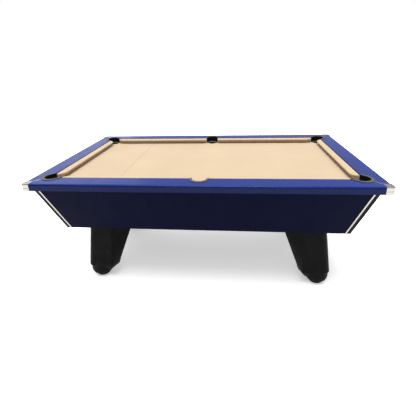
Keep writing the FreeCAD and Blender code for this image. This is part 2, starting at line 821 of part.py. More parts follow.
def leg_bolts():
    """The bolts down through the cabinet's floor into the legs."""
    body = new_body("leg_bolts")
    body.AllowCompound = True
    seat = S["cabinet_bottom"] + S["base_thick"]
    for radius, low, thick in ((S["leg_bolt_radius"], seat - 48, 48),
                               (S["leg_bolt_radius"] * 2, seat, 5)):
        sketch = new_sketch(body, "XY_Plane", low)
        for x, y in leg_bolt_places():
            circle(sketch, x, y, radius)
        pad(body, sketch, thick)


def stand(body, x_sign, y_sign):
    """Puts a piece of a foot, made about its own axis, under its leg."""
    body.setExpression("Placement.Base.x", (S["foot_x"] * x_sign).text)
    body.setExpression("Placement.Base.y", (S["foot_y"] * y_sign).text)


def foot_pad(name, x_sign, y_sign):
    """The round pad on the floor, with a socket in which the stem turns."""
    body = new_body(name)
    disc = new_sketch(body, "XY_Plane")
    circle(disc, 0, 0, S["pad_radius"])
    base = pad(body, disc, S["pad_high"])

    def lower_edge(point, edge):
        return point.z < 0.01

    rounded = round_edges(body, base, S["pad_round"], lower_edge)
    top = S["pad_high"].value

    def upper_edge(point, edge):
        return point.z > top - 0.01

    round_edges(body, rounded, 2, upper_edge)
    socket = new_sketch(body, "XY_Plane", S["pad_high"])
    circle(socket, 0, 0, S["stem_radius"] + S["run_fit"])
    cut(body, socket, S["pad_high"] - S["stem_bottom"] + 0.5)
    stand(body, x_sign, y_sign)


def foot_stem(name, x_sign, y_sign):
    """The threaded stem, with a collar for the spanner."""
    body = new_body(name)
    rod = new_sketch(body, "XY_Plane", S["stem_bottom"])
    circle(rod, 0, 0, S["stem_radius"])
    pad(body, rod, S["stem_top"] - S["stem_bottom"])
    collar = new_sketch(body, "XY_Plane", S["collar_low"])
    hexagon(collar, 0, 0, S["collar_across"])
    pad(body, collar, S["collar_high"] - S["collar_low"])
    stand(body, x_sign, y_sign)


def foot_nuts():
    """The nuts fixed under the legs, in which the stems turn."""
    body = new_body("foot_nuts")
    body.AllowCompound = True
    sketch = new_sketch(body, "XY_Plane", S["nut_low"])
    for end, side, x_sign, y_sign in CORNERS:
        x, y = S["foot_x"] * x_sign, S["foot_y"] * y_sign
        hexagon(sketch, x, y, S["collar_across"])
        circle(sketch, x, y, S["stem_radius"] + S["run_fit"])
    pad(body, sketch, S["nut_high"] - S["nut_low"])


# --- Assembly ---

cushion_end = inner_x - 65 - S["pocket_shift"] + 5
cushion_side_end = inner_y - 65 - S["pocket_shift"] + 5
cushion_gap = S["pocket_wall"] + 1
CORNER_JAW, MIDDLE_JAW = 0.8, 0.25

for side, sign in SIDES.items():
    rail("side_rail_" + side, False, sign)
    cushion("cushion_%s_left" % side, False, sign, -cushion_end, -cushion_gap,
            (CORNER_JAW, MIDDLE_JAW))
    cushion("cushion_%s_right" % side, False, sign, cushion_gap, cushion_end,
            (MIDDLE_JAW, CORNER_JAW))
    liner("pocket_liner_%s_middle" % side, as_size(0), middle_y * sign, 90 * sign, 0,
          -S["side_pocket_shift"])
    panel("side_panel_" + side, False, sign)
    ball_run("ball_run_" + side, sign)
    near, wide = S["bearer_near"] * sign, (S["bearer_near"] + S["bearer_wide"]) * sign
    reach = end_half(slate_low - S["bearer_deep"]) - S["panel_wide"] - 1
    bearer = box("long_bearer_" + side, -reach, reach, min(near, wide, key=lambda s: s.value),
                 max(near, wide, key=lambda s: s.value), slate_low - S["bearer_deep"],
                 S["bearer_deep"])
    pilots = new_sketch(bearer, "XY_Plane", slate_low)
    for x, y in screw_places():
        if y.value * sign > 0:
            circle(pilots, x, y, S["slate_screw_radius"] + S["run_fit"])
    cut(bearer, pilots, 31)

for end, sign in ENDS.items():
    rail("end_rail_" + end, True, sign)
    cushion("cushion_%s_end" % end, True, sign, -cushion_side_end, cushion_side_end,
            (CORNER_JAW, CORNER_JAW))
    end_panel = panel("end_panel_" + end, True, sign)
    if end == "right":
        return_opening(end_panel)

for number, place in (("left", -1), ("middle", 0), ("right", 1)):
    centre = S["cross_pitch"] * place
    half_wide = S["bearer_wide"] / 2
    box("cross_bearer_" + number, centre - half_wide, centre + half_wide,
        -S["bearer_near"] + 0.2, S["bearer_near"] - 0.2,
        slate_low - S["bearer_deep"], S["bearer_deep"])

for end, side, x_sign, y_sign in CORNERS:
    place = "_%s_%s" % (side, end)
    turn = math.degrees(math.atan2(y_sign, x_sign)) - 45
    corner_cap("corner_cap" + place, x_sign, y_sign, turn)
    liner("pocket_liner" + place, corner_x * x_sign, corner_y * y_sign, turn + 45, 1,
          S["pocket_shift"] / DIAGONAL)
    corner_loft("corner_post" + place, x_sign, y_sign, post_plan)
    corner_loft("corner_strip" + place, x_sign, y_sign, strip_plan)
    leg("leg" + place, x_sign, y_sign)
    foot_pad("foot_pad" + place, x_sign, y_sign)
    foot_stem("foot_stem" + place, x_sign, y_sign)

cap_screws()
slate()
bed_cloth()
slate_screws()
base_board()
return_bezel()
collection_tray()
leg_bolts()
foot_nuts()

doc.recompute()
for item in doc.Objects:
    if "Invalid" in item.State or "Error" in item.State:
        raise RuntimeError("%s is %s" % (item.Label, item.State))
os.makedirs("parts", exist_ok=True)
for body in made:
    if body.Shape.isNull() or not body.Shape.isValid():
        raise RuntimeError("%s has no valid shape" % body.Label)
    body.Shape.exportStep("parts/%s.step" % body.Label)
print(len(made), "pieces")
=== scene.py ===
"""Finishes the pool table round its fixed frame: cloth, laminate, castings, mouldings, studio.

Metres, +Z up. The origin is on the floor under the middle of the table, +X runs along its
length towards the ball return and -Y faces the player at the long side.
"""
import math

import bmesh
import bpy
from bpy.props import FloatProperty, FloatVectorProperty, IntProperty, PointerProperty
from mathutils import Matrix, Vector, noise


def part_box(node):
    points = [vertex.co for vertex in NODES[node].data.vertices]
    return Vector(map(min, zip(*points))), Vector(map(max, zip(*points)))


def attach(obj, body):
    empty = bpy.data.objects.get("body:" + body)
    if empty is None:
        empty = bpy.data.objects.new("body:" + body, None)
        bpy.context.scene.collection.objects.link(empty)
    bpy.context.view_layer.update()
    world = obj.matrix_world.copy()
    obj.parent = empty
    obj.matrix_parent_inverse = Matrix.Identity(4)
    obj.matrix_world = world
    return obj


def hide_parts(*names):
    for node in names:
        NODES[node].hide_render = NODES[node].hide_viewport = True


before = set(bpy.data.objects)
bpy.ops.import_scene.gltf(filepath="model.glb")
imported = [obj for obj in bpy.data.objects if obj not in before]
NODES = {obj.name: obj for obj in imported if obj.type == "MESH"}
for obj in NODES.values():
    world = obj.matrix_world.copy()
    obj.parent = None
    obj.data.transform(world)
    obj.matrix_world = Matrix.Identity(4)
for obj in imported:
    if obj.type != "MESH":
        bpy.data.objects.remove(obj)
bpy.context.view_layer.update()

bl_info = {
    "name": "Pool Table Workshop",
    "version": (1, 0, 0),
    "blender": (4, 5, 0),
    "location": "3D View > Sidebar > Pool Table",
    "description": "Dresses and finishes a seven-foot pool table, piece by piece",
    "category": "Object",
}

SIDES = {"near": -1, "far": 1}
ENDS = {"left": -1, "right": 1}
CORNERS = [(side, end) for side in SIDES for end in ENDS]
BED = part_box("bed_cloth")
NOSES = (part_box("cushion_left_end")[1].x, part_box("cushion_right_end")[0].x)
BED_LINE_X = NOSES[0] + (NOSES[1] - NOSES[0]) / 5
CORNER_POCKET, MIDDLE_POCKET = Vector((0.950, 0.4925)), Vector((0.0, 0.508))


# --- Settings a user would change ---

def colour_setting(name, description, default):
    return FloatVectorProperty(name=name, description=description, subtype="COLOR",
                               size=3, min=0, max=1, default=default)


def length_setting(name, description, default):
    return FloatProperty(name=name, description=description, unit="LENGTH",
                         subtype="DISTANCE", min=0, default=default, precision=5)


def power_setting(name, description, default):
    return FloatProperty(name=name, description=description, unit="POWER",
                         min=0, default=default)


class ClothSettings(bpy.types.PropertyGroup):
    """The wool cloth on the bed and cushions."""
    colour: colour_setting("Cloth", "Colour of the wool cloth", (0.435, 0.333, 0.222))
    line_colour: colour_setting("Baulk line", "Colour of the drawn baulk line",
                                (0.20, 0.155, 0.11))
    thread: length_setting("Thread pitch", "Distance between the weave's threads", 0.0006)
    line_width: length_setting("Line width", "Width of the baulk line", 0.0035)
    nose_radius: length_setting("Nose radius", "Rounding of a cushion's nose", 0.0056)
    strip_width: length_setting("Feather strip",
                                "Width of the strip that locks the cloth in a rail", 0.004)


class LaminateSettings(bpy.types.PropertyGroup):
    """The laminated boards of the rails and cabinet."""
    rail_colour: colour_setting("Rails", "Colour of the rail laminate",
                                (0.0016, 0.0060, 0.0470))
    # Painted shade: the cabinet laminate is a darker copy of the rail blue, for the shade on the
    # panels that lean in under the rails.
    cabinet_shaded_colour: colour_setting("Cabinet", "Colour of the cabinet laminate",
                                   (0.0014, 0.0022, 0.0125))
    edge_colour: colour_setting("Posts", "Colour of the corner posts",
                                (0.0012, 0.0013, 0.0012))


class MouldingSettings(bpy.types.PropertyGroup):
    """The moulded plastic and rubber parts."""
    leg_colour: colour_setting("Legs", "Colour of the moulded legs",
                               (0.0024, 0.0030, 0.0025))
    pocket_colour: colour_setting("Pockets", "Colour of the pocket liners",
                                  (0.0070, 0.0074, 0.0064))
    corner_softness: length_setting("Corner softness",
                                    "Grid size that rounds a leg's corners", 0.0045)
    smoothing: IntProperty(name="Smoothing", description="Passes that soften a leg's corners",
                           default=7, min=0, max=40)


class MetalSettings(bpy.types.PropertyGroup):
    """The plated castings and the plain steel fasteners."""
    chrome_colour: colour_setting("Chrome", "Colour of the plating", (0.37, 0.355, 0.325))
    steel_colour: colour_setting("Steel", "Colour of the zinc-plated steel",
                                 (0.56, 0.57, 0.58))
    thread_pitch: length_setting("Thread pitch", "Pitch of the foot screws", 0.002)


class StudioSettings(bpy.types.PropertyGroup):
    """The floor, the lamps and the surrounding light."""
    floor_colour: colour_setting("Floor", "Colour of the studio floor", (0.93, 0.93, 0.93))
    overhead: FloatProperty(name="Overhead light", unit="NONE", default=3.9, min=0,
                            description="Strength of the broad light above the bed")
    side: power_setting("Side lamp", "Power of the lamp behind the left end", 15)
    front: power_setting("Front lamp", "Power of the lamp behind the camera", 12)
    floor_glow: FloatProperty(name="Floor glow", default=0.38, min=0,
                              description="Light the floor gives off by itself")
    sky: FloatProperty(name="Backdrop", default=1.0, min=0,
                       description="Least brightness of the room as the camera sees it")
    back_wall: FloatProperty(name="Back wall", default=0.65, min=0,
                             description="Brightness of the far wall's light on the table")
    ceiling: FloatProperty(name="Ceiling", description="Extra brightness of the ceiling",
                           default=0.70, min=0)
    front_wall: FloatProperty(name="Front wall", default=0.22, min=0,
                              description="Brightness of the wall behind the camera")


class TableSettings(bpy.types.PropertyGroup):
    """Everything the workshop lets a user change."""
    cloth: PointerProperty(type=ClothSettings)
    laminate: PointerProperty(type=LaminateSettings)
    moulding: PointerProperty(type=MouldingSettings)
    metal: PointerProperty(type=MetalSettings)
    studio: PointerProperty(type=StudioSettings)


# --- Finishes ---

class Finish:
    """A surface finish being mixed: a principled shader and short ways to vary it."""

    def __init__(self, name, colour, roughness, **plain):
        self.material = bpy.data.materials.new(name)
        self.material.use_nodes = True
        self.tree = self.material.node_tree
        self.shader = self.tree.nodes["Principled BSDF"]
        self.colour = tuple(colour)
        self.shader.inputs["Base Color"].default_value = (*colour, 1.0)
        self.shader.inputs["Roughness"].default_value = roughness
        for socket, value in plain.items():
            self.shader.inputs[socket.replace("_", " ")].default_value = value
        self.place = self.add("ShaderNodeTexCoord").outputs["Object"]
        self.tilt = None

    def add(self, kind, inputs=None, **settings):
        """A node with its settings, and its inputs linked or set."""
        node = self.tree.nodes.new(kind)
        for key, value in settings.items():
            setattr(node, key, value)
        for key, value in (inputs or {}).items():
            if isinstance(value, bpy.types.NodeSocket):
                self.tree.links.new(value, node.inputs[key])
            else:
                node.inputs[key].default_value = value
        return node

    def link(self, output, socket):
        self.tree.links.new(output, self.shader.inputs[socket])

    def stretched(self, scale, turn=(0, 0, 0)):
        """Object space scaled by three factors, for patterns longer one way."""
        return self.add("ShaderNodeMapping", {"Vector": self.place, "Scale": scale,
                                              "Rotation": turn}).outputs[0]

    def cloud(self, scale, detail=3.0, where=None, rough=0.55, warp=0.0):
        """Soft random patches, scale of them to the metre."""
        return self.add("ShaderNodeTexNoise", {
            "Vector": where or self.place, "Scale": scale, "Detail": detail,
            "Roughness": rough, "Distortion": warp}).outputs["Fac"]

    def cells(self, scale, feature="F1"):
        """Close-packed cells, scale of them to the metre, by the distance from their middles."""
        return self.add("ShaderNodeTexVoronoi", {"Vector": self.place, "Scale": scale},
                        feature=feature).outputs["Distance"]

    def ramp(self, value, low, high, start=0.0, finish=1.0):
        """Maps low..high onto start..finish, with no overshoot."""
        return self.add("ShaderNodeMapRange", {
            "Value": value, "From Min": low, "From Max": high,
            "To Min": start, "To Max": finish}).outputs["Result"]

    def maths(self, operation, first, second=0.0):
        return self.add("ShaderNodeMath", {0: first, 1: second},
                        operation=operation).outputs[0]

    def parts(self):
        """The separate X, Y and Z of object space."""
        return self.add("ShaderNodeSeparateXYZ", {0: self.place}).outputs

    def shade(self, factor, first, second):
        """A blend of two colours by a factor."""
        ends = [tint if isinstance(tint, bpy.types.NodeSocket) else (*tint, 1)
                for tint in (first, second)]
        return self.add("ShaderNodeMix", {0: factor, 6: ends[0], 7: ends[1]},
                        data_type="RGBA").outputs[2]

    def upward(self, low, high):
        """1 on faces that look up and 0 on upright ones, between two slopes."""
        normal = self.add("ShaderNodeNewGeometry").outputs["Normal"]
        facing = self.add("ShaderNodeSeparateXYZ", {0: normal}).outputs["Z"]
        return self.ramp(facing, low, high)

    def varied(self, factor, amount=0.0, towards=None):
        """Links the base colour, darkened or turned towards another where factor is 1."""
        other = towards or toned(self.colour, 1 - amount)
        self.link(self.shade(factor, self.colour, other), "Base Color")

    def rough_between(self, factor, low, high):
        """Links the roughness, from low to high as the factor rises."""
        self.link(self.ramp(factor, 0.3, 0.7, low, high), "Roughness")

    def raised(self, height, distance, strength):
        """Adds a relief of that height in metres on top of any before it."""
        inputs = {"Height": height, "Distance": distance, "Strength": strength}
        if self.tilt is not None:
            inputs["Normal"] = self.tilt
        self.tilt = self.add("ShaderNodeBump", inputs).outputs[0]
        self.link(self.tilt, "Normal")


def toned(colour, factor):
    """A colour made darker or paler by a factor."""
    return tuple(min(1.0, c * factor) for c in colour)


def cloth_finish(settings, lined):
    """Napped wool: crossing threads, loose fibres and a soft sheen."""
    colour = tuple(settings.colour)
    made = Finish("wool_cloth_lined" if lined else "wool_cloth", colour, 0.92,
                  Sheen_Weight=0.25, Sheen_Roughness=0.45,
                  Sheen_Tint=(1.0, 0.94, 0.84, 1.0), Specular_IOR_Level=0.25)
    around = 2 * math.pi / settings.thread
    x, y, z = made.parts()
    threads = []
    for along in (x, y, z):
        threads.append(made.maths("SINE", made.maths("MULTIPLY", along, around)))
    weave = made.maths("MULTIPLY", threads[0], made.maths("ADD", threads[1], threads[2]))
    nap = made.cloud(900, 4, rough=0.7)
    patches = made.cloud(2.6, 3)
    flecks = made.ramp(made.cloud(260, 5, rough=0.75), 0.56, 0.74)
    tone = made.shade(made.ramp(patches, 0.35, 0.68), colour, toned(colour, 0.93))
    tone = made.shade(made.maths("MULTIPLY", flecks, 0.35), tone, toned(colour, 0.72))
    if lined:
        off = made.maths("ABSOLUTE", made.maths("SUBTRACT", x, BED_LINE_X))
        wander = made.ramp(made.cloud(45, 4), 0.3, 0.7, 0.8, 1.15)
        half = made.maths("MULTIPLY", wander, settings.line_width / 2)
        drawn = made.ramp(made.maths("SUBTRACT", off, half), 0.0, 0.0005, 0.75, 0.0)
        line_wear_and_painted_top = made.maths("MULTIPLY", drawn, made.ramp(made.cloud(600, 3), 0.3, 0.55, 0.6, 1))
        tone = made.shade(line_wear_and_painted_top, tone, tuple(settings.line_colour))
    made.link(tone, "Base Color")
    made.raised(weave, 0.00010, 0.5)
    made.raised(nap, 0.00035, 0.6)
    return made.material


def laminate_finish(name, colour, roughness, shine, painted_top_light=1.0):
    """Melamine laminate: a shallow orange-peel texture, faint mottling and fine scuffs.

    Faces that look upwards are made paler by the last argument's factor: painted top light,
    standing in for the stronger light on the tops.
    """
    made = Finish(name, colour, roughness, Specular_IOR_Level=shine)
    mottle = made.cloud(7, 4)
    specks = made.ramp(made.cloud(420, 4, rough=0.8), 0.60, 0.72)
    tone = made.shade(made.ramp(mottle, 0.3, 0.7), toned(colour, 0.92), toned(colour, 1.08))
    tone = made.shade(made.maths("MULTIPLY", specks, 0.35), tone, toned(colour, 1.7))
    scuffs = made.ramp(made.cloud(16, 6, made.stretched((1, 14, 14), (0.2, 0.1, 0.35)),
                                  0.8, 0.6), 0.66, 0.72)
    tone = made.shade(made.maths("MULTIPLY", scuffs, 0.10), tone, toned(colour, 2.2))
    # Painted top light: upward faces get a paler copy of the colour, for the light that falls on
    # the tops.
    if painted_top_light > 1:
        line_wear_and_painted_top = made.shade(made.ramp(mottle, 0.3, 0.7), toned(colour, painted_top_light * 0.95),
                          toned(colour, painted_top_light * 1.05))
        tone = made.shade(made.upward(0.35, 0.95), tone, line_wear_and_painted_top)
    made.link(tone, "Base Color")
    haze = made.maths("ADD", made.ramp(made.cloud(11, 3), 0.3, 0.7, roughness - 0.05,
                                       roughness + 0.06),
                      made.maths("MULTIPLY", scuffs, 0.10))
    made.link(haze, "Roughness")
    made.raised(made.cloud(260, 2), 0.00020, 0.35)
    made.raised(made.cells(900), 0.00006, 0.4)
    return made.material


def moulded_finish(name, colour, roughness, grain, depth, dust=0.0, painted_top_paling=1.0):
    """Moulded plastic: a pebbled skin, a little dust in it and painted top light on upward
    faces.

    Faces that look upwards are paler by the last argument's factor: painted top light.
    """
    made = Finish(name, colour, roughness, Specular_IOR_Level=0.05)
    pebbles = made.cells(grain, feature="SMOOTH_F1")
    broad = made.cloud(14, 4)
    tone = made.shade(made.ramp(broad, 0.35, 0.7), toned(colour, 0.85), toned(colour, 1.25))
    # Painted top light: upward faces are made paler, standing in for the light from above.
    if painted_top_paling > 1:
        tone = made.shade(made.upward(0.4, 0.9), tone, toned(colour, painted_top_paling))
    if dust:
        settled = made.ramp(made.cloud(55, 6, rough=0.75), 0.55, 0.75)
        tone = made.shade(made.maths("MULTIPLY", settled, dust), tone, (0.16, 0.15, 0.13))
    made.link(tone, "Base Color")
    made.rough_between(made.cloud(22, 4), roughness - 0.07, roughness + 0.08)
    made.raised(pebbles, depth, 0.6)
    made.raised(made.cloud(9, 2), 0.0009, 0.25)
    return made.material


def chrome_finish(settings):
    """Bright plating over a polished casting, with wipe marks and faint pitting."""
    colour = tuple(settings.chrome_colour)
    made = Finish("bright_plating", colour, 0.09, Metallic=1.0)
    wipes = made.cloud(60, 5, made.stretched((1, 1, 5), (0.3, 0.4, 0.2)), 0.7, 0.8)
    made.rough_between(wipes, 0.05, 0.20)
    made.varied(made.ramp(made.cloud(35, 4), 0.5, 0.75), 0.10)
    made.raised(made.cloud(30, 2), 0.0004, 0.25)
    made.raised(made.ramp(made.cells(700), 0.0, 0.12, 1, 0), 0.00004, 0.3)
    return made.material


def steel_finish(settings):
    """Zinc-plated steel with turned marks and a dull patch or two."""
    colour = tuple(settings.steel_colour)
    made = Finish("zinc_steel", colour, 0.34, Metallic=1.0)
    made.varied(made.ramp(made.cloud(120, 5), 0.45, 0.7), 0.35)
    made.rough_between(made.cloud(180, 4), 0.26, 0.5)
    made.raised(made.cloud(800, 2, made.stretched((1, 1, 6))), 0.00003, 0.5)
    return made.material


def timber_finish():
    """Sawn softwood: long grain, rings and darker pores."""
    light, dark = (0.47, 0.30, 0.16), (0.24, 0.13, 0.06)
    made = Finish("sawn_timber", light, 0.72)
    grain = made.stretched((1.2, 16, 16))
    rings = made.add("ShaderNodeTexWave", {
        "Vector": grain, "Scale": 1.3, "Distortion": 5.0, "Detail": 4.0,
        "Detail Scale": 1.4}, bands_direction="Y").outputs["Fac"]
    pores = made.cloud(90, 5, made.stretched((1, 12, 12)), 0.7)
    tone = made.shade(made.ramp(rings, 0.2, 0.9), light, dark)
    tone = made.shade(made.maths("MULTIPLY", made.ramp(pores, 0.5, 0.7), 0.4), tone, dark)
    made.link(tone, "Base Color")
    made.rough_between(pores, 0.6, 0.85)
    made.raised(pores, 0.0004, 0.5)
    return made.material


def slate_finish():
    """Honed slate with soft bedding bands and fine sparkle."""
    made = Finish("honed_slate", (0.055, 0.062, 0.070), 0.55)
    bands = made.cloud(4, 6, made.stretched((1, 2.5, 20)), 0.7, 0.5)
    grit = made.cells(1100)
    made.varied(made.ramp(bands, 0.35, 0.7), towards=(0.105, 0.112, 0.118))
    made.rough_between(grit, 0.45, 0.65)
    made.raised(grit, 0.00012, 0.5)
    return made.material


def dress(names, material):
    """Gives carried-over pieces of the frame their finish and soft shading on their curves."""
    for name in names:
        piece = NODES[name]
        if not piece.data.materials:
            piece.data.materials.append(material)
        for index in range(len(piece.data.materials)):
            piece.data.materials[index] = material
        piece.data.shade_smooth()
        piece.data.set_sharp_from_angle(angle=math.radians(32))


# --- Meshes ---

def make_piece(name, shape, material, body="table", sharp=35):
    """Turns a bmesh into a piece that rides on a body of the frame."""
    bmesh.ops.recalc_face_normals(shape, faces=shape.faces)
    mesh = bpy.data.meshes.new(name)
    shape.to_mesh(mesh)
    shape.free()
    return place_piece(name, mesh, material, body, sharp)


def place_piece(name, mesh, material, body="table", sharp=35):
    """Puts a finished mesh in the scene with its finish, as a piece that rides on a body."""
    mesh.materials.clear()
    mesh.materials.append(material)
    mesh.shade_smooth()
    mesh.set_sharp_from_angle(angle=math.radians(sharp))
    piece = bpy.data.objects.new(name, mesh)
    bpy.context.scene.collection.objects.link(piece)
    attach(piece, body)
    return piece


def skin(shape, rows, cap=True):
    """Joins closed rows of points with quads, and caps the ends of the tube they make."""
    made = [[shape.verts.new(p) for p in row] for row in rows]
    for first, second in zip(made, made[1:]):
        count = len(first)
        for i in range(count):
            j = (i + 1) % count
            shape.faces.new((first[i], first[j], second[j], second[i]))
    if cap:
        shape.faces.new(made[0][::-1])
        shape.faces.new(made[-1])


def lathe(shape, profile, centre, segments=64):
    """A turned form from (radius, height) points, closed on its axis where radius is 0."""
    turns = [2 * math.pi * i / segments for i in range(segments)]
    rows = [[(centre[0] + r * math.cos(a), centre[1] + r * math.sin(a), centre[2] + z)
             for a in turns] for r, z in profile]
    skin(shape, rows)


# --- Cushions ---

def along(length, coarse, fine):
    """Distances along a bar, close together over its ends and wider between them."""
    ends = [fine * (1 - math.cos(math.pi / 2 * i / 10)) for i in range(11)]
    middle = [fine + (length - 2 * fine) * i / coarse for i in range(1, coarse)]
    return ends + middle + [length - e for e in reversed(ends)]


def cushion_section(back, low, high, nose):
    """A cushion's outline as (distance behind the nose, height), round from its back."""
    bend_z = high - 0.0024 - nose
    points = [(back, low + 0.002), (back, high - 0.0045), (back - 0.0004, high - 0.0018),
              (back - 0.0016, high - 0.0005), (back - 0.0036, high)]
    points += [(back * t, high - 0.0026 * (1 - t) ** 2) for t in (0.8, 0.62, 0.45, 0.3)]
    for angle in range(75, 226, 15):
        turn = math.radians(angle)
        points.append((nose + nose * math.cos(turn), bend_z + nose * math.sin(turn)))
    foot = 0.0186
    last = points[-1]
    for t in (0.2, 0.4, 0.6, 0.8, 1.0):
        sag = 0.0011 * math.sin(math.pi * t)
        points.append((last[0] + (foot - last[0]) * t + sag, last[1] + (low - last[1]) * t))
    return points + [(foot + 0.004, low), (back - 0.002, low)]


def jaw(distance, reach, depth):
    """How far the nose line falls back, by the distance from the cushion's end."""
    if distance >= reach:
        return 0.0
    left = (reach - distance) / reach
    return depth * (1 - math.sqrt(max(0.0, 1 - left * left)))


CUSHIONS = {
    "near_left": (0, -1, "corner", "middle"), "near_right": (0, -1, "middle", "corner"),
    "far_left": (0, 1, "corner", "middle"), "far_right": (0, 1, "middle", "corner"),
    "left_end": (1, -1, "corner", "corner"), "right_end": (1, 1, "corner", "corner"),
}
JAWS = {"corner": (0.062, 0.038), "middle": (0.022, 0.012)}


def cushion_frame(name):
    """A cushion's axis, side, start, length and the places of its nose and back."""
    axis, sign, first, last = CUSHIONS[name]
    low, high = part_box("cushion_" + name)
    start, length = low[axis], high[axis] - low[axis]
    across = 1 - axis
    nose, back = sorted((abs(low[across]), abs(high[across])))
    return axis, sign, start, length, nose, back, low.z, high.z


def put(axis, sign, s, out, z):
    """A point from its distance along a rail and its distance out from the middle."""
    return (s, out * sign, z) if axis == 0 else (out * sign, s, z)


def cushion(name, settings, material):
    """One cloth-covered rubber cushion with rounded jaws at its pocket ends."""
    axis, sign, start, length, nose, back, low, high = cushion_frame(name)
    depth = back - nose - settings.strip_width
    section = cushion_section(depth, low, high, settings.nose_radius)
    middle = sum((Vector(point) for point in section), Vector((0, 0))) / len(section)
    jaws = [JAWS[kind] for kind in CUSHIONS[name][2:]]
    stops = along(length, 44, 0.066)
    tucks = [(0.0, 0.0026), (0.0007, 0.0009), (0.0022, 0.0)]
    stations = list(tucks)
    stations += [(s, 0.0) for s in stops if 0.003 < s < length - 0.003]
    stations += [(length - s, inset) for s, inset in reversed(tucks)]
    rows = []
    for s, inset in stations:
        back_off = max(jaw(s, *jaws[0]), jaw(length - s, *jaws[1]))
        squeeze = (depth - back_off) / depth
        row = []
        for d, z in section:
            aim = middle - Vector((d, z))
            d, z = Vector((d, z)) + aim.normalized() * inset
            ripple = 0.00022 * noise.noise(Vector(((start + s) * 9, z * 60, sign * 3.0 + axis)))
            row.append(put(axis, sign, start + s, nose + back_off + d * squeeze,
                           z + (ripple if d < depth - 0.002 else 0)))
        rows.append(row)
    shape = bmesh.new()
    skin(shape, rows)
    piece = make_piece("cloth_cushion_" + name, shape, material, sharp=50)
    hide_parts("cushion_" + name)
    return piece


def feather_strip(name, settings, material):
    """The strip pressed into a rail to hold the cushion's cloth; the part is real, but its
    near-black colour is painted shade for the dark joint between the cushion and the rail.
    """
    axis, sign, start, length, nose, back, low, high = cushion_frame(name)
    wide = settings.strip_width - 0.0004
    inner = back - wide
    section = [(inner, low + 0.006), (inner, high - 0.0026), (inner + 0.0005, high - 0.0018),
               (back - 0.0006, high - 0.0014), (back - 0.0001, high - 0.0020),
               (back - 0.0001, low + 0.006)]
    rows = [[put(axis, sign, start + s, out, z) for out, z in section]
            for s in along(length, 24, 0.01)]
    shape = bmesh.new()
    skin(shape, rows)
    return make_piece("feather_strip_" + name, shape, material)


# --- Bed cloth ---

def notch(centre, reach, first, last, count=36):
    """Points clockwise round a pocket, each with its way to the pocket's centre."""
    begin = math.atan2(first[1] - centre[1], first[0] - centre[0])
    end = math.atan2(last[1] - centre[1], last[0] - centre[0])
    if end > begin:
        end -= 2 * math.pi
    made = []
    for i in range(count + 1):
        angle = begin + (end - begin) * i / count
        out = Vector((math.cos(angle), math.sin(angle)))
        made.append((centre + out * reach, -out))
    return made


def straight(first, last, way, spacing=0.04):
    """Points between two notches, each with half the way out to the cloth's hem."""
    count = int((last - first).length / spacing)
    return [(first.lerp(last, i / count), way * 0.5) for i in range(1, count)]


def cloth_outline(reach, side_x, side_y):
    """The flat cloth's outline: straight sides with a notch of that reach at each pocket."""
    def chord(offset):
        return math.sqrt(reach * reach - offset * offset)

    corner, middle = CORNER_POCKET, MIDDLE_POCKET
    wide, long, gap = (chord(side_y - corner.y), chord(side_x - corner.x),
                       chord(middle.y - side_y))
    left = notch(-corner, reach, (-side_x, long - corner.y), (wide - corner.x, -side_y))
    centre = notch(-middle, reach, (-gap, -side_y), (gap, -side_y))
    right = notch(Vector((corner.x, -corner.y)), reach, (corner.x - wide, -side_y),
                  (side_x, long - corner.y))
    half = left + straight(left[-1][0], centre[0][0], Vector((0, -1)))
    half += centre + straight(centre[-1][0], right[0][0], Vector((0, -1)))
    half += right + straight(right[-1][0], -left[0][0], Vector((1, 0)))
    return half + [(-point, -way) for point, way in half]


def bed_cloth(material):
    """The cloth stretched over the slate, notched round the pockets and turned down there."""
    low, high = BED
    hole, bend, lap, hem = 0.0512, 0.003, 0.004, 0.0035
    outline = cloth_outline(hole + bend + lap, high.x - hem, high.y - hem)
    shape = bmesh.new()
    row = [shape.verts.new((*point, high.z)) for point, way in outline]
    edges = [shape.edges.new((a, b)) for a, b in zip(row, row[1:] + row[:1])]
    bmesh.ops.triangle_fill(shape, use_beauty=True, edges=edges)
    profile = [(lap, 0.0)]
    for angle in (22.5, 45, 67.5, 90):
        turn = math.radians(angle)
        profile.append((lap + bend * math.sin(turn), -bend * (1 - math.cos(turn))))
    profile += [(lap + bend, -0.008), (lap + bend, -0.014)]
    for step, (travel, drop) in enumerate(profile, 1):
        hemmed = (low.z - high.z) * step / len(profile)
        lower = [shape.verts.new((*(point + way * travel),
                                  high.z + (drop if way.length > 0.75 else hemmed)))
                 for point, way in outline]
        for i in range(len(row)):
            j = (i + 1) % len(row)
            shape.faces.new((row[i], row[j], lower[j], lower[i]))
        row = lower
    area = sum(face.calc_area() for face in shape.faces)
    piece = make_piece("bed_wool_cloth", shape, material, sharp=60)
    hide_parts("bed_cloth")
    return piece


# --- Legs and feet ---

def softened_leg(settings):
    """The near right leg's mesh with its corners and joins rounded like a moulding."""
    source = bpy.data.objects.new("leg_master", NODES["leg_near_right"].data.copy())
    bpy.context.scene.collection.objects.link(source)
    grid = source.modifiers.new("grid", "REMESH")
    grid.mode = "VOXEL"
    grid.voxel_size = settings.corner_softness
    soften = source.modifiers.new("soften", "SMOOTH")
    soften.factor = 0.5
    soften.iterations = settings.smoothing
    bpy.context.view_layer.update()
    shown = source.evaluated_get(bpy.context.evaluated_depsgraph_get())
    mesh = bpy.data.meshes.new_from_object(shown)
    bpy.data.objects.remove(source)
    return mesh


def moulded_leg(side, end, master, material):
    """One leg, mirrored from the master to its own corner."""
    name = "leg_%s_%s" % (side, end)
    mesh = master.copy()
    flip_x, flip_y = ENDS[end], -SIDES[side]
    mesh.transform(Matrix.Diagonal((flip_x, flip_y, 1, 1)))
    if flip_x * flip_y < 0:
        mesh.flip_normals()
    piece = place_piece("moulded_" + name, mesh, material, sharp=60)
    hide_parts(name)
    return piece


